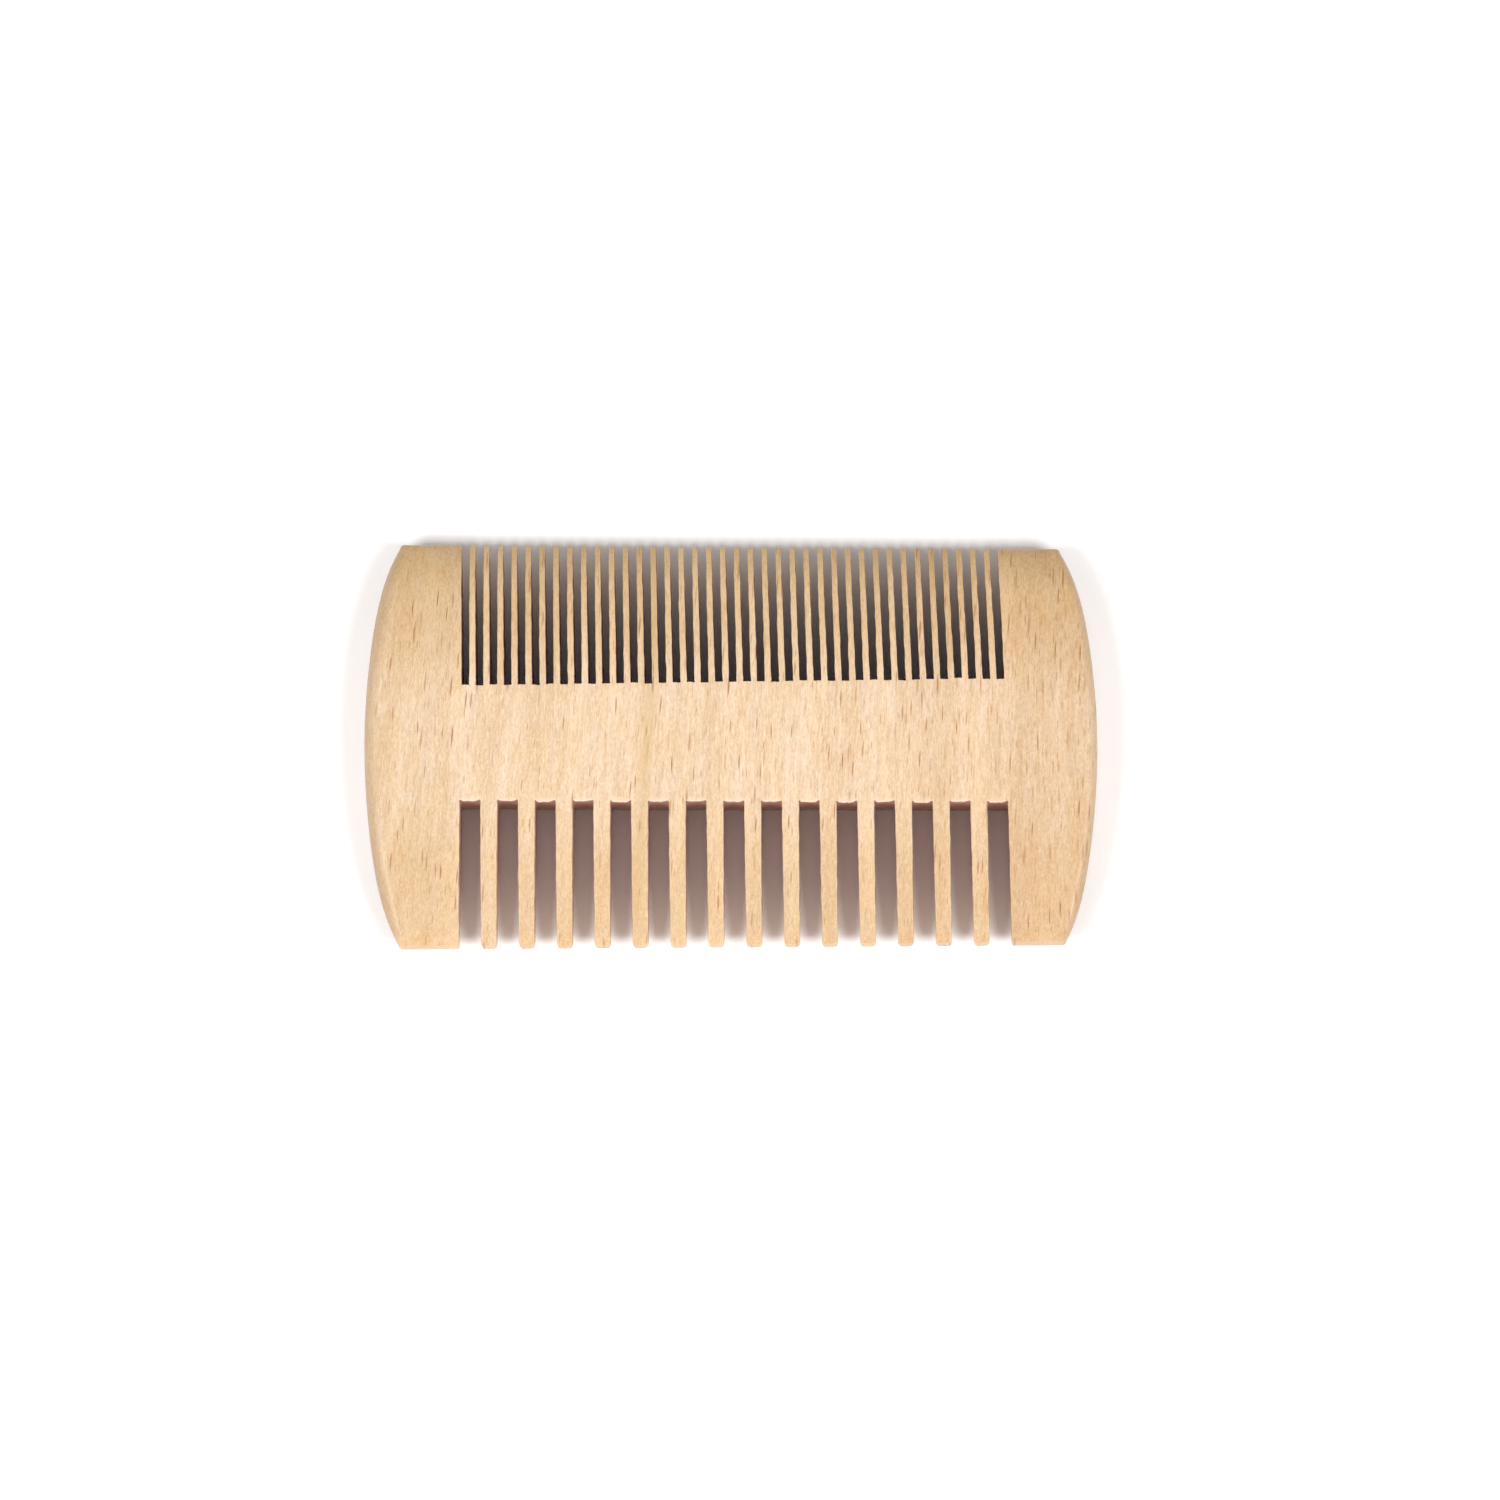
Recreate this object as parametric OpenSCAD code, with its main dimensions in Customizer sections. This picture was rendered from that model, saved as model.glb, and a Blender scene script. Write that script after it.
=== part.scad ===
// Double-sided beard comb, sawn and ground from a single board of beech. A solid spine
// carries a row of fine teeth on one side and a row of coarse teeth on the other, and a
// solid guard closes each end.
//
// Frame: the comb lies flat. X runs along the comb, Y runs across it with the fine teeth
// towards +Y, and Z is up through the board. The origin is the middle of the underside.
// Sizes are in millimetres and angles in degrees.
//
// The board is drawn as regions that meet face to face: the spine, the two guards and
// every single tooth. The slots between them are open right through the board.

/* [Board] */
// Length over the bulging ends
comb_length = 100; // [98:1:120]
// Width over the tips of both rows, at the left-hand corners
comb_width = 55.8; // [52:0.2:60]
// Thickness along the spine
board_thickness = 9.5; // [7:0.25:12]
// Thickness at the tips of the teeth
tip_thickness = 3.3; // [2:0.1:5]
// Width of the flat band along the middle of each face
flat_width = 14; // [8:1:24]
// Angle at which each long edge closes in towards the right-hand end
edge_lean = 0.4; // [0:0.05:0.6]

/* [Ends] */
// Radius of the bulge of the left-hand end
left_bulge_radius = 106; // [90:1:140]
// Radius of the bulge of the right-hand end
right_bulge_radius = 97; // [90:1:140]
// How far the fullest point of the left-hand end lies towards the fine teeth
left_bulge_shift = 0.05; // [-1:0.05:1]
// How far the fullest point of the right-hand end lies towards the coarse teeth
right_bulge_shift = 0.85; // [-1:0.05:1]
// Radius of the tighter curve next to each corner
corner_radius = 32; // [26:1:45]
// Distance from the long edge at which the tighter curve starts
corner_reach = 9.5; // [5:0.5:12]

/* [Fine teeth] */
// Number of fine teeth
fine_count = 38; // [30:1:40]
// Distance from the middle of the comb to the roots of the fine teeth
fine_root = 8.25; // [7.5:0.05:12]
// Angle at which the line of fine roots climbs towards the right-hand end
fine_root_slant = 0.75; // [0:0.05:1]
// Distance between the first and the last fine slot, at the roots
fine_row_length = 73; // [66:0.1:76]
// Distance of the middle of the fine row from the middle of the comb
fine_row_offset = 0.3; // [0:0.05:1]
// Width of a fine slot at the roots
fine_slot_root = 1.04; // [0.8:0.02:1.1]
// Width of a fine slot at the tips
fine_slot_tip = 1.16; // [0.8:0.02:1.2]
// Lean of the first fine slot towards the left-hand end
fine_lean_first = 0.5; // [0:0.1:3]
// Lean of the last fine slot towards the left-hand end
fine_lean_last = 2.9; // [0:0.1:3]
// Rounding of a fine tip, as a share of its width
fine_tip_rounding = 0.4; // [0.1:0.05:0.45]

/* [Coarse teeth] */
// Number of coarse teeth
coarse_count = 14; // [10:1:16]
// Distance from the middle of the comb to the roots of the coarse teeth
coarse_root = 8.1; // [7:0.1:12]
// Angle at which the line of coarse roots falls away towards the right-hand end
coarse_root_slant = 0.15; // [0:0.05:0.5]
// Distance between the first and the last coarse slot, at the roots
coarse_row_length = 71.9; // [66:0.1:76]
// Distance of the middle of the coarse row from the middle of the comb
coarse_row_offset = 0.45; // [0:0.05:1]
// Width of a coarse slot at the roots
coarse_slot_root = 2.8; // [2.2:0.05:2.9]
// Width of a coarse slot at the tips
coarse_slot_tip = 3; // [2.2:0.05:3.1]
// Lean of the last coarse slot towards the right-hand end
coarse_lean_last = 1.2; // [0:0.1:1.5]
// Rounding of a coarse tip, as a share of its width
coarse_tip_rounding = 0.3; // [0.1:0.05:0.45]

/* [Hidden] */
beech = [0.93, 0.80, 0.62];
// Straight pieces in each stretch of a curved end, of a face and of a rounded tip
end_steps = 6;
face_steps = 8;
tip_steps = 4;
// How far the shapes that are cut against each other run past the finished surface
overrun = 1;

// A row of teeth: [side of the board, teeth, root distance, root slant, row length,
// row offset, slot width at the roots and at the tips, lean of the first and of the
// last slot towards the left-hand end, tip rounding]
fine_row = [
    1, fine_count, fine_root, fine_root_slant, fine_row_length, fine_row_offset,
    fine_slot_root, fine_slot_tip, fine_lean_first, fine_lean_last, fine_tip_rounding
];
coarse_row = [
    -1, coarse_count, coarse_root, coarse_root_slant, coarse_row_length, coarse_row_offset,
    coarse_slot_root, coarse_slot_tip, 0, -coarse_lean_last, coarse_tip_rounding
];

function row_side(row) = row[0];
function tooth_count(row) = row[1];
function root_distance(row) = row[2];
function root_slant(row) = row[3];
function row_length(row) = row[4];
function row_offset(row) = row[5];
function slot_width(row, along) = lerp(row[6], row[7], along);
function slot_lean(row, i) = lerp(row[8], row[9], i / tooth_count(row));
function tip_rounding(row) = row[10];

function lerp(a, b, t) = a + (b - a) * t;
function two_digits(i) = i < 10 ? str("0", i) : str(i);
function tooth_name(prefix, i) = str(prefix, "_tooth_", two_digits(i));

// ---- outline, seen from above ----

// A curved end is one large arc, then a tighter arc at both sides that runs on from it
// to the corner. hand is -1 for the left-hand end and 1 for the right-hand one.
knee_y = comb_width / 2 - corner_reach;

function bulge_radius(hand) = hand < 0 ? left_bulge_radius : right_bulge_radius;
function bulge_y(hand) = hand < 0 ? left_bulge_shift : -right_bulge_shift;
function knee_angle(hand) = asin(knee_y / bulge_radius(hand));

// How far an end has fallen back from its fullest point at a distance d along Y from it
function bulge_inset(hand, d) =
    bulge_radius(hand) - sqrt(pow(bulge_radius(hand), 2) - pow(d, 2));
function corner_angle(hand, d) =
    asin(sin(knee_angle(hand)) + (d - knee_y) / corner_radius);
function corner_inset(hand, d) =
    bulge_inset(hand, knee_y)
    + corner_radius * (cos(knee_angle(hand)) - cos(corner_angle(hand, d)));
function inset(hand, d) = d <= knee_y ? bulge_inset(hand, d) : corner_inset(hand, d);
function end_x(hand, y) = hand * (comb_length / 2 - inset(hand, abs(y - bulge_y(hand))));

// Distance of a long edge from the middle line at a place along the comb
function edge_y(x) =
    comb_width / 2 - (x - end_x(-1, comb_width / 2)) * tan(edge_lean);

function root_y(row, x) = row_side(row) * (root_distance(row) + x * tan(root_slant(row)));
function tooth_length(row) = comb_width / 2 - root_distance(row);

// X of one side of a slot, where along goes from 0 at the roots to 1 at the tips and
// hand is -1 for the slot's left side and 1 for its right side
function slot_centre(row, i) =
    row_offset(row) + (i / tooth_count(row) - 0.5) * row_length(row);
function slot_side(row, i, hand, along) =
    slot_centre(row, i)
    - along * tooth_length(row) * tan(slot_lean(row, i))
    + hand * slot_width(row, along) / 2;

function root_point(row, i, hand) =
    let (x = slot_side(row, i, hand, 0)) [x, root_y(row, x)];
function edge_point(row, i, hand) =
    let (x = slot_side(row, i, hand, 1)) [x, row_side(row) * edge_y(x)];

// A quarter of a rounded tip, from one angle to another
function tip_arc(row, x, y, r, from, to) = [
    for (k = [0:tip_steps])
        let (a = lerp(from, to, k / tip_steps))
            [x + r * cos(a), row_side(row) * (y + r * sin(a))]
];

// Tooth i stands between slot i - 1 and slot i
function tooth_outline(row, i) =
    let (
        left = slot_side(row, i - 1, 1, 1),
        right = slot_side(row, i, -1, 1),
        r = tip_rounding(row) * (right - left),
        y = edge_y((left + right) / 2) - r
    )
    concat(
        [root_point(row, i - 1, 1), root_point(row, i, -1)],
        tip_arc(row, right - r, y, r, 0, 90),
        tip_arc(row, left + r, y, r, 90, 180)
    );

function spine_outline() = [
    root_point(fine_row, 0, -1),
    root_point(fine_row, fine_count, 1),
    root_point(coarse_row, coarse_count, 1),
    root_point(coarse_row, 0, -1)
];

// Y of the corner of an end, on the side of the fine teeth (1) or the coarse teeth (-1)
function corner_y(hand, side) = side * edge_y(end_x(hand, side * comb_width / 2));

// Y of the points along a curved end, from its coarse corner to its fine one
function end_heights(hand) =
    let (low = bulge_y(hand) - knee_y, high = bulge_y(hand) + knee_y)
    concat(
        [for (k = [0:end_steps - 1]) lerp(corner_y(hand, -1), low, k / end_steps)],
        [for (k = [0:2 * end_steps]) lerp(low, high, k / (2 * end_steps))],
        [for (k = [1:end_steps]) lerp(high, corner_y(hand, 1), k / end_steps)]
    );

function last_slot(row, hand) = hand < 0 ? 0 : tooth_count(row);
function guard_outline(hand) = concat(
    [for (y = end_heights(hand)) [end_x(hand, y), y]],
    [
        edge_point(fine_row, last_slot(fine_row, hand), hand),
        root_point(fine_row, last_slot(fine_row, hand), hand),
        root_point(coarse_row, last_slot(coarse_row, hand), hand),
        edge_point(coarse_row, last_slot(coarse_row, hand), hand)
    ]
);

// ---- section, seen from the end ----

// Each face is flat along the spine and falls away to the tips in an arc
face_run = (comb_width - flat_width) / 2;
face_drop = (board_thickness - tip_thickness) / 2;
face_radius = (pow(face_run, 2) + pow(face_drop, 2)) / (2 * face_drop);

function half_thickness(out) =
    board_thickness / 2 - face_radius + sqrt(pow(face_radius, 2) - pow(out, 2));

// Points of one face from the edge of the flat band outwards
function face_points(side, up) = [
    for (k = [0:face_steps])
        let (out = (face_run + overrun) * k / face_steps)
            [
                side * (flat_width / 2 + out),
                board_thickness / 2 + up * half_thickness(out)
            ]
];
function backwards(points) = [for (k = [len(points) - 1:-1:0]) points[k]];

section = concat(
    face_points(1, 1),
    backwards(face_points(1, -1)),
    face_points(-1, -1),
    backwards(face_points(-1, 1))
);

// ---- solids ----

// The part of the board that lies inside an outline
module board_region(outline) {
    color(beech)
        intersection() {
            translate([0, 0, -overrun])
                linear_extrude(board_thickness + 2 * overrun)
                    polygon(outline);
            translate([-comb_length, 0, 0])
                rotate([90, 0, 90])
                    linear_extrude(2 * comb_length)
                        polygon(section);
        }
}

module spine() {
    board_region(spine_outline());
}

module left_guard() {
    board_region(guard_outline(-1));
}

module right_guard() {
    board_region(guard_outline(1));
}

module fine_tooth(i) {
    board_region(tooth_outline(fine_row, i));
}

module coarse_tooth(i) {
    board_region(tooth_outline(coarse_row, i));
}

spine();
left_guard();
right_guard();
for (i = [1:fine_count])
    fine_tooth(i);
for (i = [1:coarse_count])
    coarse_tooth(i);
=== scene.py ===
"""Looks of the beard comb: one continuous beech board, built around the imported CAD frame.

Lengths are metres in the frame of the CAD model: X along the comb, Y across it with the
fine teeth towards +Y, Z up. The comb lies on the floor at z = 0.
"""

import math
from collections import namedtuple

import bpy
import numpy as np
from mathutils import Matrix, Vector
from mathutils.geometry import delaunay_2d_cdt
from mathutils.kdtree import KDTree


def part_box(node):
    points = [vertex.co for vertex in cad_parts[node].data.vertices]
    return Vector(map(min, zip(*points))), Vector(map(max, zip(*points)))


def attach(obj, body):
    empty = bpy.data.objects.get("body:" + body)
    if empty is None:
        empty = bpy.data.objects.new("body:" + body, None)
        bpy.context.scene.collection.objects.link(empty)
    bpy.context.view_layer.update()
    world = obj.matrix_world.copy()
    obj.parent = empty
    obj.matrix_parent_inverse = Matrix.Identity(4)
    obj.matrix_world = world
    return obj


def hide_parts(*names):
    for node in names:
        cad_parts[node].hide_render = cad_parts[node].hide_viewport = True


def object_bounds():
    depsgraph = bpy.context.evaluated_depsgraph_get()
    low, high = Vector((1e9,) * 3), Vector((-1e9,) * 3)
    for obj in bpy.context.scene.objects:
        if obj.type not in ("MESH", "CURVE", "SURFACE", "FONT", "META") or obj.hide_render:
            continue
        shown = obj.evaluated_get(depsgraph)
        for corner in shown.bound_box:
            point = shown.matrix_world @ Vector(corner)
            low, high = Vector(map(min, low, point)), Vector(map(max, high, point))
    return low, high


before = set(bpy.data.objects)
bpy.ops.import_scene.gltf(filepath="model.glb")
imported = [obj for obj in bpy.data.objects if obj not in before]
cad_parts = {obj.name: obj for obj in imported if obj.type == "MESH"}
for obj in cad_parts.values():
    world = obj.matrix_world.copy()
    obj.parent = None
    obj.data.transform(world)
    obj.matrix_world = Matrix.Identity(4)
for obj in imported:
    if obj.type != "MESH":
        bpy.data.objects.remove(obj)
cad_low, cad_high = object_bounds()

MM = 0.001
SPINE, LEFT_GUARD, RIGHT_GUARD = "spine", "left_guard", "right_guard"
FINE_TEETH = sorted(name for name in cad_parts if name.startswith("fine_tooth"))
COARSE_TEETH = sorted(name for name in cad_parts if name.startswith("coarse_tooth"))
MIDDLE_Z = (cad_low.z + cad_high.z) / 2

# ---- how the board is finished, which the CAD solids leave out ----

# Each row of teeth: how far its edges and the inner corners of its slots are rounded, the
# rounding of a tip as a share of its width, how the faces bend down along the last stretch
# of a tooth, and how they roll over at its very end
FINE_FINISH = {
    "edge_round": 0.09 * MM,
    "root_corner": 0.08 * MM,
    "tip_rounding": 0.46,
    "bend_length": 6.5 * MM,
    "bend_drop": 1.00 * MM,
    "rim_length": 0.7 * MM,
    "rim_drop": 0.30 * MM,
}
COARSE_FINISH = {
    "edge_round": 0.16 * MM,
    "root_corner": 0.12 * MM,
    "tip_rounding": 0.30,
    "bend_length": 2.7 * MM,
    "bend_drop": 0.30 * MM,
    "rim_length": 0.5 * MM,
    "rim_drop": 0.25 * MM,
}

# The guards: rounding of their edges and corners. The curved ends, -1 on the left and 1 on
# the right, are rounded over further and darkened with painted shade, less so close to their
# corners.
GUARD_EDGE_ROUND = 0.30 * MM
GUARD_TIP_CORNER = 0.45 * MM
GUARD_OUTER_CORNER = 0.55 * MM
END_EDGE_ROUND = {-1: 2.0 * MM, 1: 1.3 * MM}
END_ROUND_RUN = 7.0 * MM
END_SHADE = {-1: 1.0, 1: 0.6}

# The faces: how much of the top's bend the underside has, and how wavy sanding left them
UNDERSIDE_BEND = 0.6
WAVINESS = 0.035 * MM
WAVE_LENGTH = 9 * MM
# Distance from the middle line where the waves begin, and the run over which they grow
WAVES_FROM = 6 * MM
WAVES_RUN = 8 * MM

# The saw cuts: scatter of their ends and of the tips' rounding, slow wander and fine fuzz
# of the walls, unevenness of the edges, and chips, which a higher bar makes rarer
ROOT_SCATTER = 0.05 * MM
TIP_SCATTER = (0.85, 1.05)
SAW_WANDER, WANDER_LENGTH = 0.045 * MM, 2.4 * MM
SAW_FUZZ, FUZZ_LENGTH = 0.055 * MM, 0.5 * MM
UNEVENNESS, UNEVEN_LENGTH = 0.35, 3 * MM
CHIP_SIZE, CHIP_LENGTH, CHIP_BAR = 2.6, 0.9 * MM, 0.30
# Distance over which rough walls give way to sanded tips, and the share of it that the
# change is moved away from the long edges
SANDED_TIP = 2.0 * MM
SANDED_SHARE = 0.2

# Torn fibres that hang over the inner ends of the coarse slots: how far they reach, how
# deep they go, which is at most a share of the wall, and the shares of their reach that
# they sag by and that is left at their foot
LIP_LENGTH = 0.26 * MM
LIP_DEPTH = 0.55 * MM
LIP_DEPTH_SHARE = 0.15
LIP_SAG = 0.25
LIP_FOOT = 0.25
# Share of a slot's width in which they rise on its left, the range in which they thin out
# on its right, and how much they vary from slot to slot and from place to place
LIP_RISE = 0.10
LIP_THIN = (0.12, 0.45)
LIP_TORN = (0.55, 1.25)
LIP_RAGGED = (0.8, 1.1)

# What the material needs to know about a place: the pale edge of a cut, which is a painted
# highlight on the rounded edges and pale torn fibre with painted light on the lips; a sawn
# wall, whose colour deepens down the wall as painted shade; and painted shade on the curved
# ends
MARKS = ("rim", "sawn", "end_shade")
RIM_HIGHLIGHT = 0.25
LIP_PALENESS_AND_LIGHT = 0.60
LIP_FOOT_PALENESS_AND_LIGHT = 0.8 * LIP_PALENESS_AND_LIGHT
# Share of a wall's depth at which the lips' paleness, painted light that is bright at the top
# of the wall and shaded lower down, has faded out
LIP_FADE = 0.60
# How sawn the rounded edge and the top of a wall look, next to the middle of the wall; the
# sawn colour deepening down the wall is also painted shade
SAWN_AT_EDGE = 0.25
SAWN_AT_TOP = 0.5

# ---- how fine the mesh is ----

BEVEL_ANGLES = [math.radians(a) for a in (0, 22, 45, 68, 90)]
WALL_STEPS = (0.20, 0.42, 0.70)
CORNER_STEP = math.radians(15)
END_POINTS = 97
# Points inside the faces, and the triangulation that joins them to the outline, which
# works in millimetres and covers the whole hull
FILL_SPACING = 0.9 * MM
FILL_MARGIN = 0.42 * MM
CDT_WHOLE_HULL = 0
CDT_TOLERANCE = 1e-7
# Distance between points at the two ends of a stretch of outline, and at most
SPACING = {
    "side": (0.14 * MM, 0.14 * MM, 0.60 * MM),
    "root": (0.12 * MM, 0.12 * MM, 0.28 * MM),
    "tip": (0.10 * MM, 0.10 * MM, 0.22 * MM),
    "edge": (0.25 * MM, 0.25 * MM, 0.60 * MM),
}
SPACING_GROWTH = 0.35

rng = np.random.default_rng(20)


def unit(vectors):
    return vectors / np.linalg.norm(vectors, axis=-1, keepdims=True)


def link(obj):
    bpy.context.scene.collection.objects.link(obj)
    return obj


# ---- the plan, read from the CAD nodes ----

# Part of a tooth's side that is straight: clear of the spine and of the rounded tip
ROOT_CLEARANCE = 0.2 * MM
TIP_CLEARANCE = 1.2 * MM
# Only the curved ends lie farther out than this share of half the comb's length
END_SHARE = 0.84
END_CURVE_DEGREE = 10


def levels(node):
    """(y, lowest x, highest x) at each y where a node has corners on both of its sides."""
    rows = {}
    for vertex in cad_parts[node].data.vertices:
        rows.setdefault(round(vertex.co.y, 6), set()).add(round(vertex.co.x, 7))
    return sorted((y, min(xs), max(xs)) for y, xs in rows.items() if len(xs) > 1)


class Line:
    """A straight line given as one coordinate along the other."""

    def __init__(self, along, values):
        self.slope, self.offset = np.polyfit(along, values, 1)

    def __call__(self, at):
        return self.slope * at + self.offset


def side_line(node, sign, hand):
    """x along y of a node's long side: hand -1 is its left side, 1 its right side."""
    box_low, box_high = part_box(SPINE)
    near = max(abs(box_low.y), abs(box_high.y)) + ROOT_CLEARANCE
    far = cad_high.y - TIP_CLEARANCE
    inside = [row for row in levels(node) if near < sign * row[0] < far]
    return Line([row[0] for row in inside], [row[1 if hand < 0 else 2] for row in inside])


def root_line(sign):
    """y along x of the closed ends of a row of slots."""
    corners = {(v.co.x, v.co.y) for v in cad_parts[SPINE].data.vertices}
    ends = [
        max((c for c in corners if c[0] * hand > 0), key=lambda c: c[1] * sign)
        for hand in (-1, 1)
    ]
    return Line([x for x, _ in ends], [y for _, y in ends])


def edge_line(sign, teeth):
    """y along x of the long edge that the tips of a row of teeth reach."""
    xs, ys = [], []
    for name in teeth:
        low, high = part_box(name)
        xs.append((low.x + high.x) / 2)
        ys.append(high.y if sign > 0 else low.y)
    return Line(xs, ys)


class Row:
    """One row of slots: sign 1 is the fine row at +Y, -1 the coarse row at -Y."""

    def __init__(self, sign, teeth, finish):
        solids = [LEFT_GUARD, *teeth, RIGHT_GUARD]
        self.sign = sign
        self.finish = finish
        self.root = root_line(sign)
        self.edge = edge_line(sign, teeth)
        self.slots = [
            (side_line(left, sign, 1), side_line(right, sign, -1))
            for left, right in zip(solids, solids[1:])
        ]

    def nose(self, to_edge):
        """How far the faces bend down close to the tips."""
        finish = self.finish
        bend = np.clip(1 - to_edge / finish["bend_length"], 0, 1)
        rim = np.clip(1 - to_edge / finish["rim_length"], 0, 1)
        return finish["bend_drop"] * bend**2 + finish["rim_drop"] * (1 - np.sqrt(1 - rim**2))


fine = Row(1, FINE_TEETH, FINE_FINISH)
coarse = Row(-1, COARSE_TEETH, COARSE_FINISH)


def end_curve(node):
    """The curved outer end of a guard: its lowest and highest y, and |x| along y."""
    reach = max(abs(cad_low.x), abs(cad_high.x)) * END_SHARE
    places = {
        (round(v.co.y, 6), round(abs(v.co.x), 6))
        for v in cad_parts[node].data.vertices
        if abs(v.co.x) > reach
    }
    curve = np.array(sorted(places))
    smooth = np.polynomial.Polynomial.fit(curve[:, 0], curve[:, 1], END_CURVE_DEGREE)
    return curve[0, 0], curve[-1, 0], smooth


# ---- the faces ----

PROFILE_REACH = 30 * MM
PROFILE_STEP = 0.1 * MM
PROFILE_WINDOW = 27
SLOPE_STEP = 0.04 * MM


def smoothed_profile():
    """Half the board's thickness on a fine grid of distances from the middle line."""
    grid = np.arange(0, PROFILE_REACH, PROFILE_STEP)
    tops = {}
    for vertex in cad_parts[LEFT_GUARD].data.vertices:
        y = round(abs(vertex.co.y), 6)
        tops[y] = max(tops.get(y, 0), vertex.co.z - MIDDLE_Z)
    ys = np.array(sorted(tops))
    heights = np.array([tops[y] for y in ys])
    slope = (heights[-1] - heights[-3]) / (ys[-1] - ys[-3])
    raw = np.interp(grid, ys, heights)
    raw += np.where(grid > ys[-1], (grid - ys[-1]) * slope, 0)
    window = PROFILE_WINDOW
    mirrored = np.concatenate([raw[window:0:-1], raw, raw[-1] + slope * grid[1 : window + 1]])
    kernel = np.ones(window) / window
    smooth = np.convolve(mirrored, kernel, mode="same")[window : window + len(raw)]
    return grid, smooth


PROFILE_Y, PROFILE_HALF = smoothed_profile()


class SmoothNoise:
    """Smooth seeded noise over the plan: a few sine waves of about one length."""

    WAVES = 7
    LENGTHS = (0.7, 1.6)

    def __init__(self, wavelength):
        angles = rng.uniform(0, 2 * math.pi, self.WAVES)
        sizes = 2 * math.pi / (wavelength * rng.uniform(*self.LENGTHS, self.WAVES))
        self.kx = sizes * np.cos(angles)
        self.ky = sizes * np.sin(angles)
        self.phase = rng.uniform(0, 2 * math.pi, self.WAVES)

    def __call__(self, x, y):
        x, y = np.asarray(x)[..., None], np.asarray(y)[..., None]
        return np.sin(x * self.kx + y * self.ky + self.phase).mean(axis=-1)


sanding_top = SmoothNoise(WAVE_LENGTH)
sanding_bottom = SmoothNoise(WAVE_LENGTH)


def face_height(x, y, up):
    """z of the finished face, up = 1 for the top and -1 for the underside."""
    x, y = np.asarray(x, float), np.asarray(y, float)
    half = np.interp(np.abs(y), PROFILE_Y, PROFILE_HALF)
    nose = np.where(y > 0, fine.nose(fine.edge(x) - y), coarse.nose(y - coarse.edge(x)))
    nose = nose * (1 if up > 0 else UNDERSIDE_BEND)
    sanding = sanding_top if up > 0 else sanding_bottom
    off_spine = np.clip((np.abs(y) - WAVES_FROM) / WAVES_RUN, 0, 1)
    return MIDDLE_Z + up * (half - nose - WAVINESS * off_spine * (1 + sanding(x, y)))


def face_normal(x, y, up):
    """Outward unit normals of the finished face."""
    step = SLOPE_STEP
    slope_x = (face_height(x + step, y, up) - face_height(x - step, y, up)) / (2 * step)
    slope_y = (face_height(x, y + step, up) - face_height(x, y - step, up)) / (2 * step)
    normals = unit(np.stack([-slope_x * up, -slope_y * up, np.ones_like(slope_x)], axis=-1))
    normals[..., 2] *= up
    return normals


# ---- the outline ----


class Corner:
    """A corner of the plan, and what the stretch that starts there is."""

    def __init__(self, x, y, radius, stretch, edge_round, row=None, end_shade=0.0):
        self.at = np.array([x, y])
        self.radius = radius
        self.stretch = stretch
        self.edge_round = edge_round
        self.row = row
        self.end_shade = end_shade


def slot_corners(row, index):
    """The four corners of one slot, in the order that the outline runs round the comb."""
    left, right = row.slots[index]
    first, second = (left, right) if row.sign < 0 else (right, left)
    middle = (left(0) + right(0)) / 2
    root_y, tip_y = row.root(middle), row.edge(middle)
    root_y += row.sign * rng.normal(0, ROOT_SCATTER)
    last = len(row.slots) - 1
    finish = row.finish
    edge_round = finish["edge_round"]
    corners = []
    for line, is_first in ((first, True), (second, False)):
        on_guard = (index == 0 and line is left) or (index == last and line is right)
        if on_guard:
            tip_radius = GUARD_TIP_CORNER
        else:
            neighbour = index + (1 if line is right else -1)
            other = row.slots[neighbour][0 if line is right else 1]
            width = abs(other(tip_y) - line(tip_y))
            tip_radius = finish["tip_rounding"] * width * rng.uniform(*TIP_SCATTER)
        tip = Corner(line(tip_y), tip_y, tip_radius, "side", edge_round, row)
        root = Corner(line(root_y), root_y, finish["root_corner"], "root", edge_round, row)
        if is_first:
            corners += [tip, root]
        else:
            root.stretch = "side"
            tip.stretch = "edge" if on_guard else "tip"
            tip.edge_round = GUARD_EDGE_ROUND if on_guard else edge_round
            corners += [root, tip]
    return corners


def end_corners(node, hand):
    """The curved end of a guard, from the coarse edge up on the right and down on the left."""
    bottom, top, curve = end_curve(node)
    ys = np.linspace(bottom, top, END_POINTS)
    ys = ys if hand > 0 else ys[::-1]
    xs = hand * curve(ys)
    run = np.clip(np.minimum(ys - bottom, top - ys) / END_ROUND_RUN, 0, 1) ** 0.5
    rounds = GUARD_EDGE_ROUND + (END_EDGE_ROUND[hand] - GUARD_EDGE_ROUND) * run
    corners = [
        Corner(x, y, 0, "end", edge_round, end_shade=END_SHADE[hand] * share)
        for x, y, edge_round, share in zip(xs, ys, rounds, run)
    ]
    corners[0].radius = corners[-1].radius = GUARD_OUTER_CORNER
    corners[-1].stretch = "edge"
    corners[-1].edge_round = GUARD_EDGE_ROUND
    return corners


def plan_corners():
    """All corners of the comb, anticlockwise from above, starting at the coarse row."""
    corners = []
    for index in range(len(coarse.slots)):
        corners += slot_corners(coarse, index)
    corners += end_corners(RIGHT_GUARD, 1)
    for index in reversed(range(len(fine.slots))):
        corners += slot_corners(fine, index)
    corners += end_corners(LEFT_GUARD, -1)
    return corners


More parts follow.
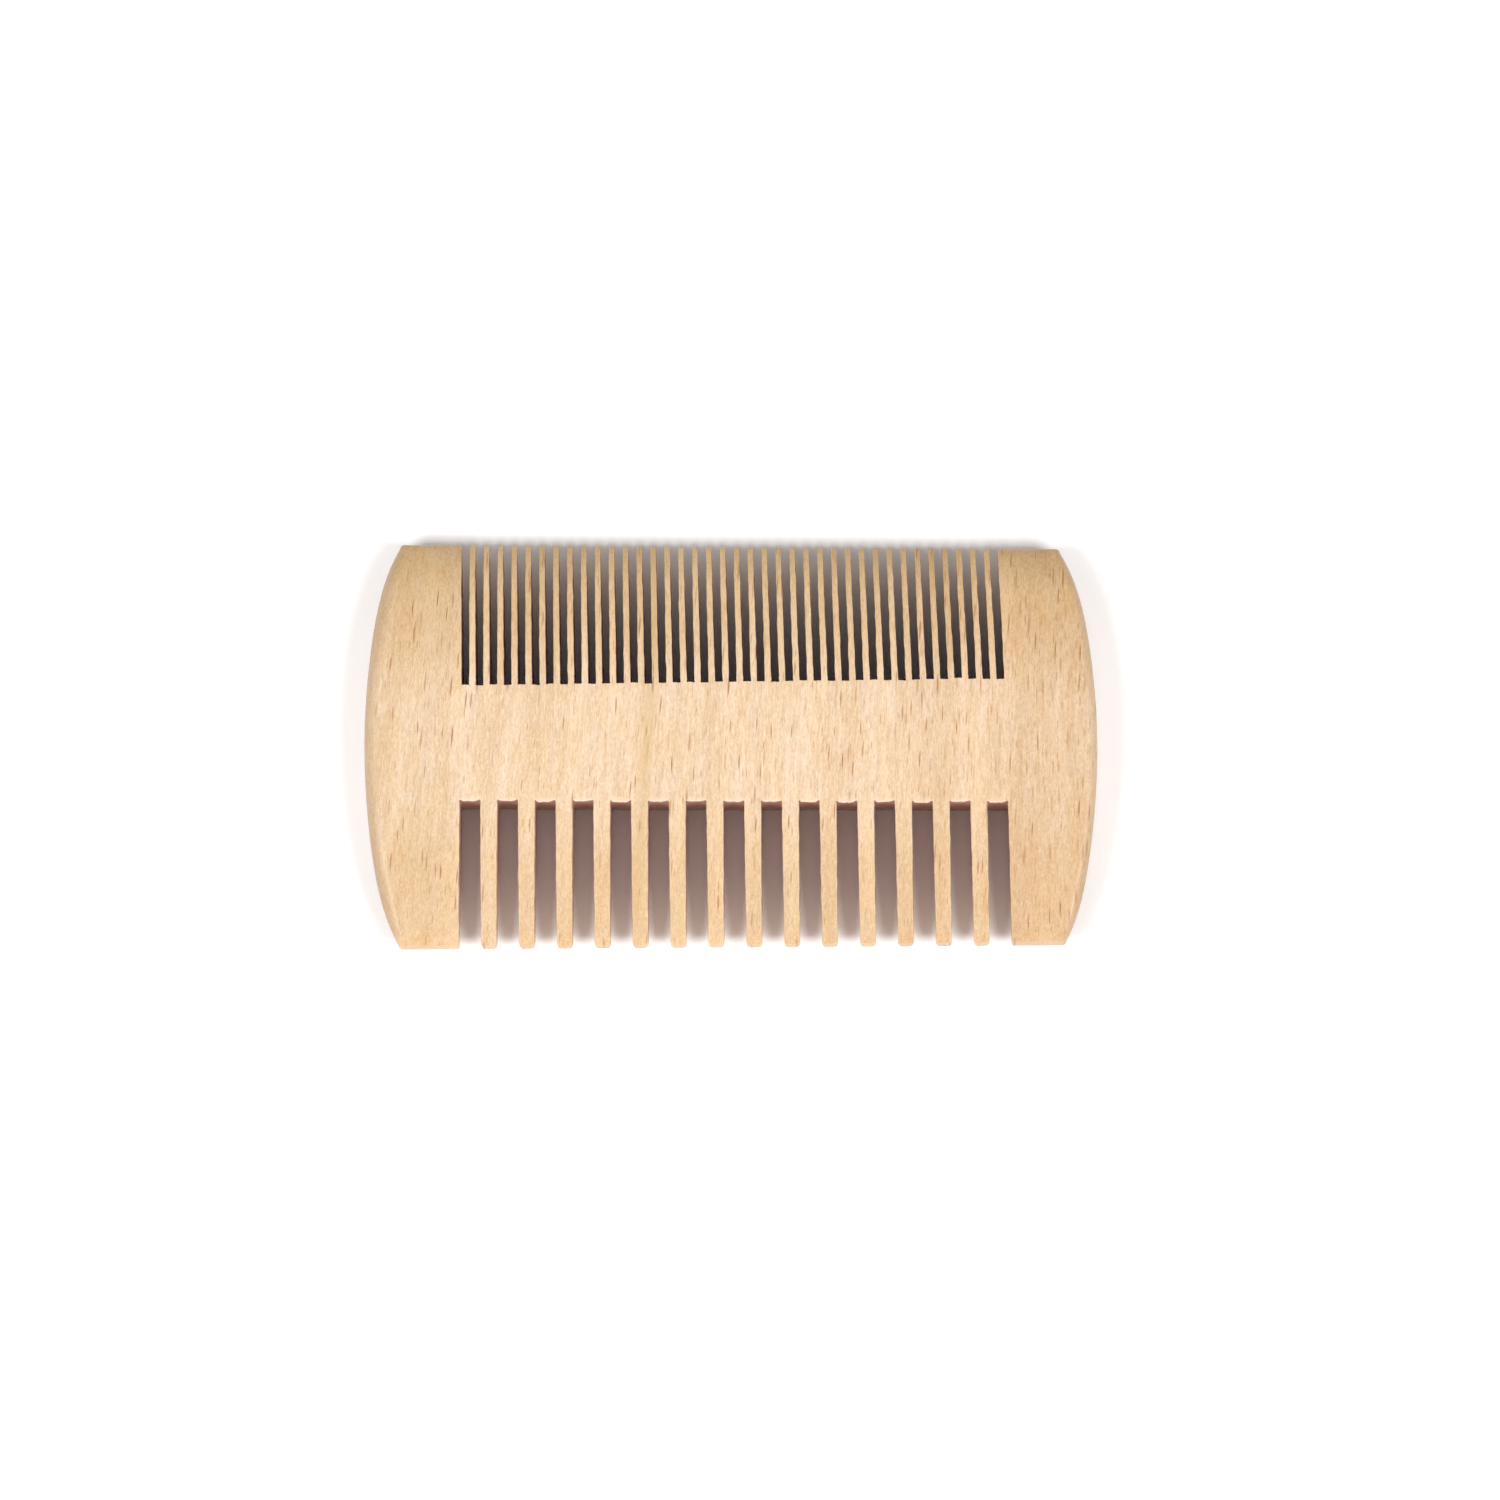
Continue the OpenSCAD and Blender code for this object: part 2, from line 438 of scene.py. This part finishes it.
def spaced(length, at_start, at_end, widest):
    """Places along a stretch, closer together near its two ends, without the ends."""
    places = [0.0]
    while places[-1] < length:
        gone, left = places[-1], max(length - places[-1], 0)
        step = min(at_start + SPACING_GROWTH * gone, at_end + SPACING_GROWTH * left, widest)
        places.append(gone + step)
    places = np.array(places)
    return places[1:-1] * length / places[-1]


def fibre_lip(share, thin):
    """How far torn fibres hang over a slot's end, from its left side to its right side."""
    rise = min(share / LIP_RISE, 1)
    fall = min((1 - share) / thin, 1)
    return LIP_LENGTH * rise**0.5 * fall


class Outline:
    """Samples of the plan's outline, as arrays once it is closed."""

    def __init__(self):
        self.places, self.normals, self.rounds = [], [], []
        self.lips, self.rough, self.end_shade = [], [], []

    def add(self, place, normal, corner, lip=0.0):
        self.places.append(place)
        self.normals.append(normal)
        self.rounds.append(corner.edge_round)
        self.lips.append(lip)
        self.rough.append(1.0 if corner.stretch in ("side", "root") else 0.0)
        self.end_shade.append(corner.end_shade)

    def close(self):
        for name in ("places", "normals", "rounds", "lips", "rough", "end_shade"):
            setattr(self, name, np.array(getattr(self, name)))
        x, y = self.places.T
        to_edge = np.minimum(fine.edge(x) - y, y - coarse.edge(x))
        self.rough *= np.clip(to_edge / SANDED_TIP - SANDED_SHARE, 0, 1)


def corner_turns(corners):
    """For each corner: the way in, the way out, the turn, and what its rounding takes off."""
    turns = []
    for i, corner in enumerate(corners):
        into = unit(corner.at - corners[i - 1].at)
        out = unit(corners[(i + 1) % len(corners)].at - corner.at)
        turn = math.atan2(into[0] * out[1] - into[1] * out[0], float(into @ out))
        turns.append((into, out, turn, corner.radius * math.tan(abs(turn) / 2)))
    return turns


def round_corner(outline, corner, into, out, turn, trim):
    """Adds the arc of a rounded corner, or the one point of a corner that has no radius."""
    normal_in = np.array([into[1], -into[0]])
    if not corner.radius:
        outline.add(corner.at, unit(normal_in + np.array([out[1], -out[0]])), corner)
        return
    steps = max(1, round(abs(turn) / CORNER_STEP))
    bend = 1 if turn > 0 else -1
    centre = corner.at - into * trim - bend * corner.radius * normal_in
    for k in range(steps + 1):
        cosine, sine = math.cos(turn * k / steps), math.sin(turn * k / steps)
        rotation = np.array([[cosine, -sine], [sine, cosine]])
        normal = rotation @ normal_in
        outline.add(centre + bend * corner.radius * normal, normal, corner)


def trace_outline():
    """Rounds the corners and samples every stretch between them."""
    corners = plan_corners()
    turns = corner_turns(corners)
    outline = Outline()
    for i, corner in enumerate(corners):
        into, out, turn, trim = turns[i]
        round_corner(outline, corner, into, out, turn, trim)
        following = (i + 1) % len(corners)
        length = np.linalg.norm(corners[following].at - corner.at) - trim - turns[following][3]
        if corner.stretch == "end" or length <= 0:
            continue
        normal = np.array([out[1], -out[0]])
        hangs = corner.stretch == "root" and corner.row is coarse
        torn, thin = rng.uniform(*LIP_TORN), rng.uniform(*LIP_THIN)
        for place in spaced(length, *SPACING[corner.stretch]):
            lip = 0.0
            if hangs:
                lip = torn * fibre_lip(place / length, thin) * rng.uniform(*LIP_RAGGED)
            outline.add(corner.at + out * (trim + place), normal, corner, lip)
    outline.close()
    return outline


# ---- the comb's mesh ----


def bevel_rings(outline, flat, up):
    """Rings round one rounded edge, from the face outwards, and how far the walls wander."""
    places, normals = outline.places, outline.normals
    x, y = places.T
    chips = np.clip(SmoothNoise(CHIP_LENGTH)(x, y) - CHIP_BAR, 0, 1) * CHIP_SIZE
    uneven = UNEVENNESS * SmoothNoise(UNEVEN_LENGTH)(x, y)
    rounds = outline.rounds * (1 + outline.rough * (chips + uneven))
    wander = SAW_WANDER * SmoothNoise(WANDER_LENGTH)(x, y)
    wander = outline.rough * (wander + SAW_FUZZ * SmoothNoise(FUZZ_LENGTH)(x, y))
    lips = outline.lips if up > 0 else 0 * outline.lips
    rings = []
    for angle in BEVEL_ANGLES:
        sine, cosine = math.sin(angle), math.cos(angle)
        spot = places + normals * (lips + wander - rounds * (1 - sine))[:, None]
        z = face_height(spot[:, 0], spot[:, 1], up)
        z = z - up * (rounds * (1 - cosine) + LIP_SAG * lips * sine)
        tilt = face_normal(spot[:, 0], spot[:, 1], up)
        # The rim mark is a painted highlight along the rounded edge, strongest half way round it,
        # and pale torn fibre with painted light on the lips; the curved ends' mark is painted
        # shade
        marks = {
            "rim": RIM_HIGHLIGHT * math.sin(2 * angle) + LIP_PALENESS_AND_LIGHT * (lips > 0),
            "sawn": SAWN_AT_EDGE * outline.rough * sine**4,
            "end_shade": outline.end_shade * sine,
        }
        rings.append((np.column_stack([spot, z]), unit(tilt * cosine + flat * sine), marks))
    return rings, wander


def wall_rings(outline):
    """Rings of points, normals and marks down the walls, from the top to the underside."""
    places, normals, lips = outline.places, outline.normals, outline.lips
    flat = np.column_stack([normals, np.zeros(len(normals))])
    rings, wander_top = bevel_rings(outline, flat, 1)
    under, wander_under = bevel_rings(outline, flat, -1)
    high, low = rings[-1][0][:, 2], under[-1][0][:, 2]
    fallen = np.minimum(LIP_DEPTH, LIP_DEPTH_SHARE * (high - low))
    spot = places + normals * (LIP_FOOT * lips + wander_top)[:, None]
    # Just below the lips the paleness is pale fibre with painted light, and the sawn colour
    # starts, deepening down the wall as painted shade
    marks = {
        "rim": LIP_FOOT_PALENESS_AND_LIGHT * (lips > 0),
        "sawn": SAWN_AT_TOP * outline.rough,
        "end_shade": outline.end_shade,
    }
    rings.append((np.column_stack([spot, high - fallen]), flat, marks))
    for share in WALL_STEPS:
        wander = (1 - share) * wander_top + share * wander_under
        spot = places + normals * wander[:, None]
        # Down the wall the lips' paleness fades out as painted light, and the sawn colour is full,
        # which is partly painted shade
        marks = {
            "rim": LIP_PALENESS_AND_LIGHT * max(LIP_FADE - share, 0) * (lips > 0),
            "sawn": outline.rough,
            "end_shade": outline.end_shade,
        }
        rings.append((np.column_stack([spot, high + (low - high) * share]), flat, marks))
    return rings + under[::-1]


def inner_points(ring):
    """Grid points inside a ring and clear of it, to carry the shape of a face."""
    start = ring[:, :2]
    end = np.roll(start, -1, axis=0)
    tree = KDTree(len(start))
    for i, (x, y) in enumerate(start):
        tree.insert((x, y, 0), i)
    tree.balance()
    points = []
    low, high = start.min(axis=0), start.max(axis=0)
    for row, y in enumerate(np.arange(low[1] + FILL_MARGIN, high[1], FILL_SPACING)):
        crosses = (start[:, 1] <= y) != (end[:, 1] <= y)
        a, b = start[crosses], end[crosses]
        cuts = np.sort(a[:, 0] + (y - a[:, 1]) / (b[:, 1] - a[:, 1]) * (b[:, 0] - a[:, 0]))
        # Every other row is moved by half a step
        first = low[0] + FILL_SPACING * 0.5 * (row % 2)
        for left, right in zip(cuts[::2], cuts[1::2]):
            steps = np.arange(
                math.ceil((left - first) / FILL_SPACING), (right - first) / FILL_SPACING
            )
            for x in first + FILL_SPACING * steps:
                if tree.find((x, y, 0))[2] > FILL_MARGIN:
                    points.append((x, y))
    return np.array(points)


def fill(ring):
    """Extra points and triangles that close a ring, seen from above."""
    extra = inner_points(ring)
    flat = np.vstack([ring[:, :2], extra]) / MM
    rim = list(range(len(ring)))
    places, _, faces, sources, _, covers = delaunay_2d_cdt(
        [Vector(p) for p in flat], [], [rim], CDT_WHOLE_HULL, CDT_TOLERANCE, True
    )
    if len(places) != len(flat):
        raise RuntimeError("the outline crosses itself")
    triangles = [[sources[v][0] for v in face] for face, cover in zip(faces, covers) if cover]
    return extra, triangles


def ring_faces(rings, count):
    """Quads between each ring of count points and the next ring down."""
    faces = []
    for level in range(rings - 1):
        upper, lower = level * count, (level + 1) * count
        for i in range(count):
            j = (i + 1) % count
            faces.append((upper + i, lower + i, lower + j, upper + j))
    return faces


def make_comb():
    """The whole board as one closed mesh with smooth analytic normals."""
    rings = wall_rings(trace_outline())
    count = len(rings[0][0])
    points = [ring[0] for ring in rings]
    normals = [ring[1] for ring in rings]
    marks = {name: [ring[2][name] * np.ones(count) for ring in rings] for name in MARKS}
    faces = ring_faces(len(rings), count)
    for up, level in ((1, 0), (-1, len(rings) - 1)):
        extra, triangles = fill(rings[level][0])
        start = sum(len(p) for p in points)
        shift = level * count
        for triangle in triangles:
            face = [v + shift if v < count else v - count + start for v in triangle]
            faces.append(face if up > 0 else face[::-1])
        x, y = extra.T
        points.append(np.column_stack([extra, face_height(x, y, up)]))
        normals.append(face_normal(x, y, up))
        for parts in marks.values():
            parts.append(np.zeros(len(extra)))
    mesh = bpy.data.meshes.new("comb")
    mesh.from_pydata(np.vstack(points).tolist(), [], faces)
    mesh.update()
    mesh.shade_smooth()
    mesh.normals_split_custom_set_from_vertices(np.vstack(normals).tolist())
    for name, parts in marks.items():
        attribute = mesh.attributes.new(name, "FLOAT", "POINT")
        attribute.data.foreach_set("value", np.clip(np.concatenate(parts), 0, 1))
    return link(bpy.data.objects.new("comb", mesh))


# ---- beech ----

# A layer of figure in the wood: how many features there are in a millimetre along X, Y and
# Z, a shift that keeps it apart from the other layers, its detail, roughness and
# distortion, and how strongly it works
Layer = namedtuple(
    "Layer", "per_mm shift detail roughness distortion strength", defaults=(1.0,)
)
SWAY = Layer((0.05, 0.035, 0.05), (0, 0, 0), 1.0, 0.5, 0.0, 1.1)
RIPPLE = Layer((0.5, 0.35, 0.5), (4, 1, 2), 2.0, 0.5, 0.0, 0.22)
BANDS = Layer((0.16, 0.010, 0.10), (3.1, 0, 0), 2.0, 0.5, 0.0, 1.1)
STREAKS = Layer((0.9, 0.050, 0.6), (0, 0, 0), 4.0, 0.6, 0.0, 1.1)
FIBRES = Layer((4.2, 0.62, 3.0), (0, 0, 0), 4.0, 0.65, 0.0, 1.7)
THREADS = Layer((7.0, 0.25, 5.0), (2, 2, 0), 3.0, 0.6, 0.0, 1.3)
PORES = Layer((6.0, 2.0, 5.0), (1, 8, 0), 2.0, 0.7, 0.0, 2.2)
GLINTS = Layer((0.55, 0.10, 0.4), (0, 7.7, 0), 3.0, 0.6, 1.2, 0.35)
PATCHES = Layer((0.40, 0.11, 0.3), (9, 4, 2), 3.0, 0.65, 0.6)

# Ray flecks: width and length in millimetres, a shift, how full of a fleck its cell is,
# and how dark it is next to the darkest
Flecks = namedtuple("Flecks", "width length shift size depth")
LARGE_FLECKS = Flecks(0.70, 7.5, (0.3, 0.1, 0), 0.27, 1.0)
SMALL_FLECKS = Flecks(0.56, 4.2, (5.2, 3.3, 0), 0.25, 0.60)
# Share of the cells that hold a fleck, growing from one x to another
FLECKS_FROM, FLECKS_TO = -42, 32
FLECK_SHARE = (0.30, 0.58)
FLECK_STRENGTH = 0.85
# Size of the smallest fleck next to the largest, the share of a fleck inside its soft edge,
# and a power that below 1 makes more of them dark
SMALLEST_FLECK = 0.6
FLECK_CORE = 0.35
FLECK_DEPTH_POWER = 0.8

# Degrees that the fibres lean, at the left-hand end and at the right-hand one, where the
# ends of that change lie, and how much the figure slants down through the board
GRAIN_LEAN = (4.5, 1.0)
LEAN_REACH = 45
RAY_SLANT = 0.6

# One dark growth ring: its x, its half width without and with its soft edges, its strength
LATEWOOD_X = -11.6
LATEWOOD_EDGES = (0.2, 1.6)
LATEWOOD_STRENGTH = 0.40

WOOD_LIGHT = (0.658, 0.474, 0.296, 1)
WOOD_DARK = (0.509, 0.330, 0.172, 1)
WOOD_LATE = (0.516, 0.343, 0.151, 1)
WOOD_GLINT = (0.676, 0.516, 0.347, 1)
WOOD_FLECK = (0.320, 0.125, 0.030, 1)
# Pale colour of the rims: a painted highlight on the rounded edges, pale torn fibre with painted
# light on the lips
WOOD_RIM_AND_HIGHLIGHT = (0.712, 0.570, 0.427, 1)
WOOD_SAWN = (0.620, 0.350, 0.305, 1)
MARK_STRENGTH = 0.85

# Tints that multiply the wood. The paler band along the middle is a painted sheen where the
# softboxes' reflection falls; it fades out over a stretch of the distance from the middle
# line. The tips' tints set in over a stretch of Y: painted shade on the fine tips and on the
# coarse side, and a painted highlight at the coarse tips. The darker tints of the right-hand
# part and the guards set in over a stretch of X, all in millimetres. The warm patches set in
# over a range of their noise.
SHEEN_TINT, SHEEN_ZONE = (1.110, 1.190, 1.400, 1), (5, 18.5)
WARM_TINT, WARM_RANGE = (0.997, 0.960, 0.862, 1), (0.38, 0.62)
# Painted shade on the rounded curved ends
END_SHADE_TINT = (0.760, 0.720, 0.660, 1)
# Painted shade that darkens the fine tips
FINE_TIP_SHADE_TINT, FINE_TIP_SHADE_ZONE = (0.855, 0.835, 0.745, 1), (19, 27.8)
# Painted shade over the coarse side
COARSE_SIDE_SHADE_TINT, COARSE_SIDE_SHADE_ZONE = (0.965, 0.955, 0.935, 1), (-12, -24)
# A painted highlight at the very coarse tips
COARSE_END_HIGHLIGHT_TINT, COARSE_END_HIGHLIGHT_ZONE = (1.090, 1.080, 1.100, 1), (-25.5, -27.5)
RIGHT_HAND_TINT, RIGHT_HAND_ZONE = (0.965, 0.935, 0.910, 1), (8, 45)
GUARD_TINT, GUARD_ZONE = (0.955, 0.945, 0.922, 1), (34, 41)
# Pale glints: the range of their noise over which they set in, and the stretch of X over
# which they grow weaker, from one strength to another
GLINT_RANGE = (0.52, 0.72)
GLINT_ZONE = (-46, -30, 1.0, 0.25)

GLOSS_RANGE = (0.3, 0.7)
WOOD_ROUGHNESS = (0.36, 0.46)
WOOD_IOR = 1.5
FLECK_DENT = 0.3
BUMP_STRENGTH = 0.5
BUMP_DISTANCE = 0.03 * MM


class Graph:
    """Short ways to add shader nodes. A value is a number, a tuple or a socket."""

    def __init__(self, name):
        self.material = bpy.data.materials.new(name)
        self.material.use_nodes = True
        self.tree = self.material.node_tree
        self.tree.nodes.clear()

    def node(self, kind, values=None, **settings):
        node = self.tree.nodes.new(kind)
        for name, setting in settings.items():
            setattr(node, name, setting)
        for key, value in (values or {}).items():
            if isinstance(value, bpy.types.NodeSocket):
                self.tree.links.new(value, node.inputs[key])
            else:
                node.inputs[key].default_value = value
        return node

    def math(self, operation, a, b=0.0, clamp=False):
        values = {0: a, 1: b}
        return self.node("ShaderNodeMath", values, operation=operation, use_clamp=clamp).outputs[0]

    def add(self, a, b):
        return self.math("ADD", a, b)

    def times(self, a, b):
        return self.math("MULTIPLY", a, b)

    def centred(self, value, amount):
        """A value from 0 to 1 made to swing either side of 0."""
        return self.times(self.math("SUBTRACT", value, 0.5), amount)

    def scaled(self, vector, scale, move=(0, 0, 0)):
        values = {"Vector": vector, "Location": move, "Scale": scale}
        return self.node("ShaderNodeMapping", values).outputs[0]

    def split(self, vector):
        return self.node("ShaderNodeSeparateXYZ", {0: vector}).outputs

    def figure(self, vector, layer):
        values = {
            "Vector": self.scaled(vector, layer.per_mm, layer.shift),
            "Scale": 1.0,
            "Detail": layer.detail,
            "Roughness": layer.roughness,
            "Distortion": layer.distortion,
        }
        return self.node("ShaderNodeTexNoise", values).outputs["Fac"]

    def ramp(self, value, low, high, to_low=0.0, to_high=1.0, smooth=True):
        values = {0: value, 1: low, 2: high, 3: to_low, 4: to_high}
        kind = "SMOOTHSTEP" if smooth else "LINEAR"
        return self.node("ShaderNodeMapRange", values, interpolation_type=kind).outputs[0]

    def mix(self, factor, a, b, blend="MIX"):
        values = {0: factor, 6: a, 7: b}
        node = self.node("ShaderNodeMix", values, data_type="RGBA", blend_type=blend)
        return node.outputs[2]

    def tint(self, factor, color, tint):
        return self.mix(factor, color, tint, "MULTIPLY")

    def mark(self, name):
        return self.node("ShaderNodeAttribute", attribute_name=name).outputs["Fac"]

    def spindles(self, grain, flecks, share):
        """Short dark flecks, pointed at both ends: 1 inside the darkest and 0 outside."""
        vector = self.scaled(grain, (1 / flecks.width, 1 / flecks.length, 1), flecks.shift)
        node = self.node(
            "ShaderNodeTexVoronoi", {"Vector": vector, "Scale": 1.0}, voronoi_dimensions="2D"
        )
        chance = self.node("ShaderNodeSeparateColor", {0: node.outputs["Color"]}).outputs
        present = self.math("LESS_THAN", chance[0], share)
        smallest = SMALLEST_FLECK * flecks.size
        radius = self.ramp(chance[1], 0, 1, smallest, flecks.size, smooth=False)
        inside = self.math("DIVIDE", node.outputs["Distance"], radius)
        shape = self.ramp(inside, FLECK_CORE, 1.0, 1.0, 0.0)
        depth = self.math("POWER", chance[2], FLECK_DEPTH_POWER)
        return self.times(self.times(self.times(shape, present), depth), flecks.depth)


def wood_grain(g, millimetres):
    """Coordinates in which the fibres run straight along Y."""
    across, along, up = g.split(millimetres)
    leans = [-math.tan(math.radians(angle)) for angle in GRAIN_LEAN]
    lean = g.ramp(across, -LEAN_REACH, LEAN_REACH, *leans, smooth=False)
    sway = g.centred(g.figure(millimetres, SWAY), SWAY.strength)
    ripple = g.centred(g.figure(millimetres, RIPPLE), RIPPLE.strength)
    sideways = g.add(g.times(along, lean), g.add(sway, ripple))
    bend = g.node("ShaderNodeCombineXYZ", {0: sideways, 1: g.times(up, RAY_SLANT)}).outputs[0]
    moved = g.node("ShaderNodeVectorMath", {0: millimetres, 1: bend}, operation="ADD")
    return moved.outputs[0]


def ray_flecks(g, grain, across):
    share = g.ramp(across, FLECKS_FROM, FLECKS_TO, *FLECK_SHARE)
    large = g.spindles(grain, LARGE_FLECKS, share)
    small = g.spindles(grain, SMALL_FLECKS, share)
    return g.math("MAXIMUM", large, small)


def plain_wood(g, grain, across, along, fibres, flecks):
    """Colour of the sanded wood, with a painted sheen along the middle, before the later marks."""
    shade = g.centred(fibres, FIBRES.strength)
    for layer in (BANDS, STREAKS, THREADS, PORES):
        shade = g.add(shade, g.centred(g.figure(grain, layer), layer.strength))
    color = g.mix(g.math("ADD", shade, 0.5, clamp=True), WOOD_DARK, WOOD_LIGHT)
    off_ring = g.math("ABSOLUTE", g.math("SUBTRACT", g.split(grain)[0], LATEWOOD_X))
    color = g.mix(g.ramp(off_ring, *LATEWOOD_EDGES, LATEWOOD_STRENGTH, 0.0), color, WOOD_LATE)
    glints = g.ramp(g.figure(grain, GLINTS), *GLINT_RANGE)
    glints = g.times(g.times(glints, g.ramp(across, *GLINT_ZONE)), GLINTS.strength)
    color = g.mix(glints, color, WOOD_GLINT)
    # A painted sheen: the flat middle is tinted paler where the softboxes' reflection falls
    sheen_band = g.ramp(g.math("ABSOLUTE", along), *SHEEN_ZONE, 1.0, 0.0)
    color = g.tint(sheen_band, color, SHEEN_TINT)
    patches = g.ramp(g.figure(grain, PATCHES), *WARM_RANGE, smooth=False)
    color = g.tint(patches, color, WARM_TINT)
    return g.mix(g.times(flecks, FLECK_STRENGTH), color, WOOD_FLECK)


def wood_marks_and_painted_light(g, color, across, along):
    """Adds the sawn walls' colour, the rims' painted highlights, the curved ends' painted shade
    and the tints by zone to the colour of the wood.
    """
    # The sawn colour deepens down the walls as painted shade, the rims are painted highlights on
    # the rounded edges and pale fibre on the lips, and the curved ends get painted shade
    color = g.mix(g.times(g.mark("sawn"), MARK_STRENGTH), color, WOOD_SAWN)
    color = g.mix(g.mark("rim"), color, WOOD_RIM_AND_HIGHLIGHT)
    color = g.tint(g.times(g.mark("end_shade"), MARK_STRENGTH), color, END_SHADE_TINT)
    # Painted shade on the fine tips and the coarse side, a painted highlight at the coarse tips,
    # and darker tints on the right-hand part and the guards
    zones = (
        (along, FINE_TIP_SHADE_ZONE, FINE_TIP_SHADE_TINT),
        (along, COARSE_SIDE_SHADE_ZONE, COARSE_SIDE_SHADE_TINT),
        (along, COARSE_END_HIGHLIGHT_ZONE, COARSE_END_HIGHLIGHT_TINT),
        (across, RIGHT_HAND_ZONE, RIGHT_HAND_TINT),
        (g.math("ABSOLUTE", across), GUARD_ZONE, GUARD_TINT),
    )
    for place, zone, tint in zones:
        color = g.tint(g.ramp(place, *zone), color, tint)
    return color


def beech():
    """Fine-sanded beech: fibre streaks, ray flecks, soft bands, painted shade on the fine tips and
    a painted sheen along the middle.
    """
    g = Graph("beech")
    coordinates = g.node("ShaderNodeTexCoord").outputs["Object"]
    millimetres = g.scaled(coordinates, (1 / MM,) * 3)
    across, along, _ = g.split(millimetres)
    grain = wood_grain(g, millimetres)
    fibres = g.figure(grain, FIBRES)
    flecks = ray_flecks(g, grain, across)
    color = plain_wood(g, grain, across, along, fibres, flecks)
    color = wood_marks_and_painted_light(g, color, across, along)
    roughness = g.ramp(fibres, *GLOSS_RANGE, *WOOD_ROUGHNESS)
    relief = {
        "Height": g.math("SUBTRACT", fibres, g.times(flecks, FLECK_DENT)),
        "Strength": BUMP_STRENGTH,
        "Distance": BUMP_DISTANCE,
    }
    finish = {
        "Base Color": color,
        "Roughness": roughness,
        "Normal": g.node("ShaderNodeBump", relief).outputs[0],
        "IOR": WOOD_IOR,
    }
    shader = g.node("ShaderNodeBsdfPrincipled", finish)
    g.node("ShaderNodeOutputMaterial", {"Surface": shader.outputs[0]})
    return g.material


# ---- the studio ----

# The camera: degrees that it leans back from straight above, its distance, its x, the width
# that it sees at the place it aims at, and that place
CAMERA_TILT = 8.5
CAMERA_DISTANCE = 1.8
CAMERA_X = 0.030
FRAME_WIDTH = 0.2044
AIM = Vector((0.00266, -0.0012, cad_high.z))
SENSOR_WIDTH = 36

FLOOR_SIZE = 3.0
FLOOR_GAP = 0.02 * MM
FLOOR_COLOR = (0.97, 0.96, 0.965, 1)
FLOOR_ROUGHNESS = 0.9
FLOOR_SPECULAR = 0.2

WORLD_STRENGTH = 0.42
# A pair of square softboxes, one to each side: where the right-hand one is, its width and
# the light that it casts on the comb
SOFTBOX_PLACE = (0.50, -0.32, 0.85)
SOFTBOX_SIZE = 0.44
SOFTBOX_STRENGTH = 0.67


def look_at(obj, target):
    """Turns a camera or a light towards a point, with X level across its view."""
    back = (obj.location - target).normalized()
    right = (Vector((1, 0, 0)) - back * back.x).normalized()
    turn = Matrix((right, back.cross(right), back)).transposed()
    obj.rotation_euler = turn.to_euler()


def add_camera():
    data = bpy.data.cameras.new("camera")
    data.sensor_width = SENSOR_WIDTH
    data.lens = SENSOR_WIDTH * CAMERA_DISTANCE / FRAME_WIDTH
    data.dof.use_dof = False
    camera = link(bpy.data.objects.new("camera", data))
    back = CAMERA_DISTANCE * math.sin(math.radians(CAMERA_TILT))
    side = CAMERA_X - AIM.x
    rise = math.sqrt(CAMERA_DISTANCE**2 - back**2 - side**2)
    camera.location = AIM + Vector((side, -back, rise))
    look_at(camera, AIM)
    bpy.context.scene.camera = camera


def add_softbox(name, hand):
    """A softbox that faces the comb, from the left (hand -1) or from the right (1)."""
    x, y, z = SOFTBOX_PLACE
    data = bpy.data.lights.new(name, "AREA")
    data.shape = "RECTANGLE"
    data.size = data.size_y = SOFTBOX_SIZE
    light = link(bpy.data.objects.new(name, data))
    light.location = (hand * x, y, z)
    look_at(light, Vector((0, 0, 0)))
    data.energy = SOFTBOX_STRENGTH * math.pi**2 * light.location.length**2


def floor_material():
    g = Graph("floor")
    finish = {
        "Base Color": FLOOR_COLOR,
        "Roughness": FLOOR_ROUGHNESS,
        "Specular IOR Level": FLOOR_SPECULAR,
    }
    shader = g.node("ShaderNodeBsdfPrincipled", finish)
    g.node("ShaderNodeOutputMaterial", {"Surface": shader.outputs[0]})
    return g.material


def add_floor():
    """A plain floor, just clear of the underside so that the two don't share a plane."""
    half = FLOOR_SIZE / 2
    mesh = bpy.data.meshes.new("floor")
    corners = [(-half, -half, 0), (half, -half, 0), (half, half, 0), (-half, half, 0)]
    mesh.from_pydata(corners, [], [(0, 1, 2, 3)])
    mesh.materials.append(floor_material())
    floor = link(bpy.data.objects.new("floor", mesh))
    floor.location.z = cad_low.z - FLOOR_GAP


def add_world():
    world = bpy.data.worlds.new("world")
    world.use_nodes = True
    background = world.node_tree.nodes["Background"]
    background.inputs["Color"].default_value = (1, 1, 1, 1)
    background.inputs["Strength"].default_value = WORLD_STRENGTH
    bpy.context.scene.world = world


comb = make_comb()
comb.data.materials.append(beech())
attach(comb, "root")
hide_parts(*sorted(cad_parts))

add_floor()
add_camera()
add_world()
add_softbox("left softbox", -1)
add_softbox("right softbox", 1)
bpy.context.scene.view_settings.view_transform = "Standard"
bpy.context.scene.view_settings.look = "None"
